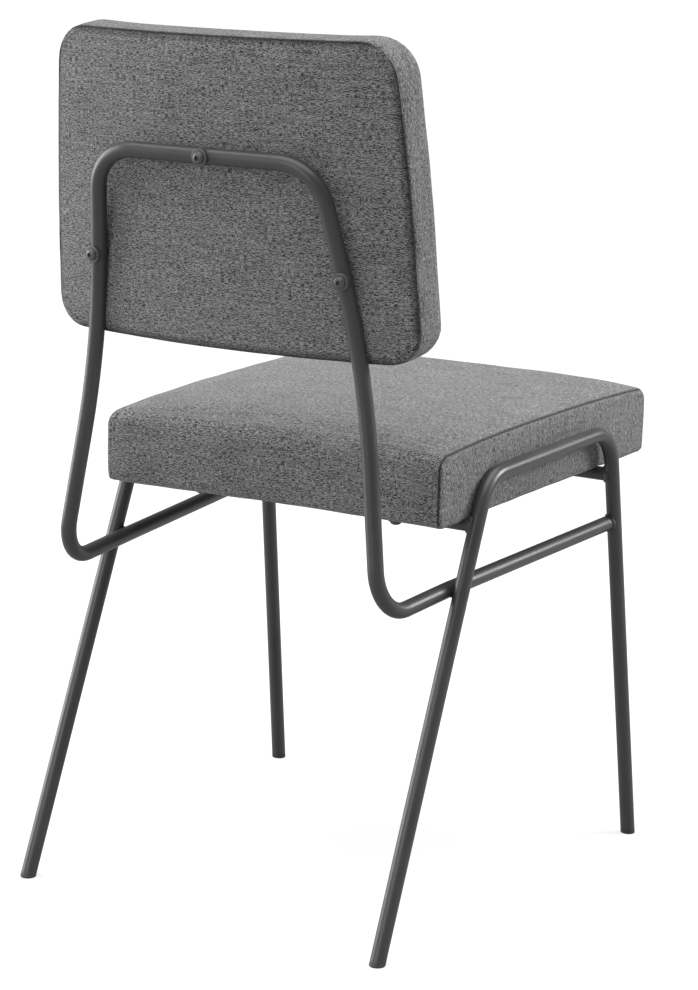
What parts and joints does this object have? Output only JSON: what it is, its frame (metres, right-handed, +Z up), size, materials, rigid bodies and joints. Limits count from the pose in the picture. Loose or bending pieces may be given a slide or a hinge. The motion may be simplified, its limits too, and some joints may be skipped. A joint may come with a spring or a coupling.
{
  "type": "dining chair",
  "caption": "Dining chair with bent round tube frame, back frame looping under the seat, upholstered slab seat and bowed backrest.",
  "frame": {"origin": "on the floor, centre of the chair's bounding box", "axes": "+Z up, the sitter faces -Y, X = 0 is the plane of symmetry, sitter's left is +X"},
  "size_m": [0.4506, 0.5621, 0.8281],
  "materials": {
    "frame_paint": "satin",
    "weld_paint": "satin",
    "foot_plastic": "matte",
    "fastener_steel": "satin",
    "plated_steel": "brushed",
    "spacer_plastic": "matte",
    "plywood": "unfinished",
    "foam": "open cell foam",
    "wadding": "fibre wadding",
    "cover_fabric": "heathered woven cloth",
    "dust_cloth": "non-woven cloth"
  },
  "bodies": {
    "root": {"left_side_frame": "frame_paint", "right_side_frame": "frame_paint", "back_frame": "frame_paint", "front_cross_tube": "frame_paint", "rear_cross_tube": "frame_paint", "rail_welds": "weld_paint", "cross_tube_welds": "weld_paint", "left_front_foot_cap": "foot_plastic", "left_rear_foot_cap": "foot_plastic", "right_front_foot_cap": "foot_plastic", "right_rear_foot_cap": "foot_plastic", "backrest_bolts": "fastener_steel", "backrest_bolt_washers": "fastener_steel", "seat_bolts": "fastener_steel", "seat_bolt_washers": "fastener_steel", "backrest_tee_nuts": "plated_steel", "seat_tee_nuts": "plated_steel", "backrest_spacers": "spacer_plastic", "backrest_board": "plywood", "seat_board": "plywood", "backrest_foam": "foam", "seat_foam": "foam", "backrest_wadding": "wadding", "backrest_cover": "cover_fabric", "seat_cover": "cover_fabric", "seat_dust_cover": "dust_cloth"}
  },
  "joints": []
}
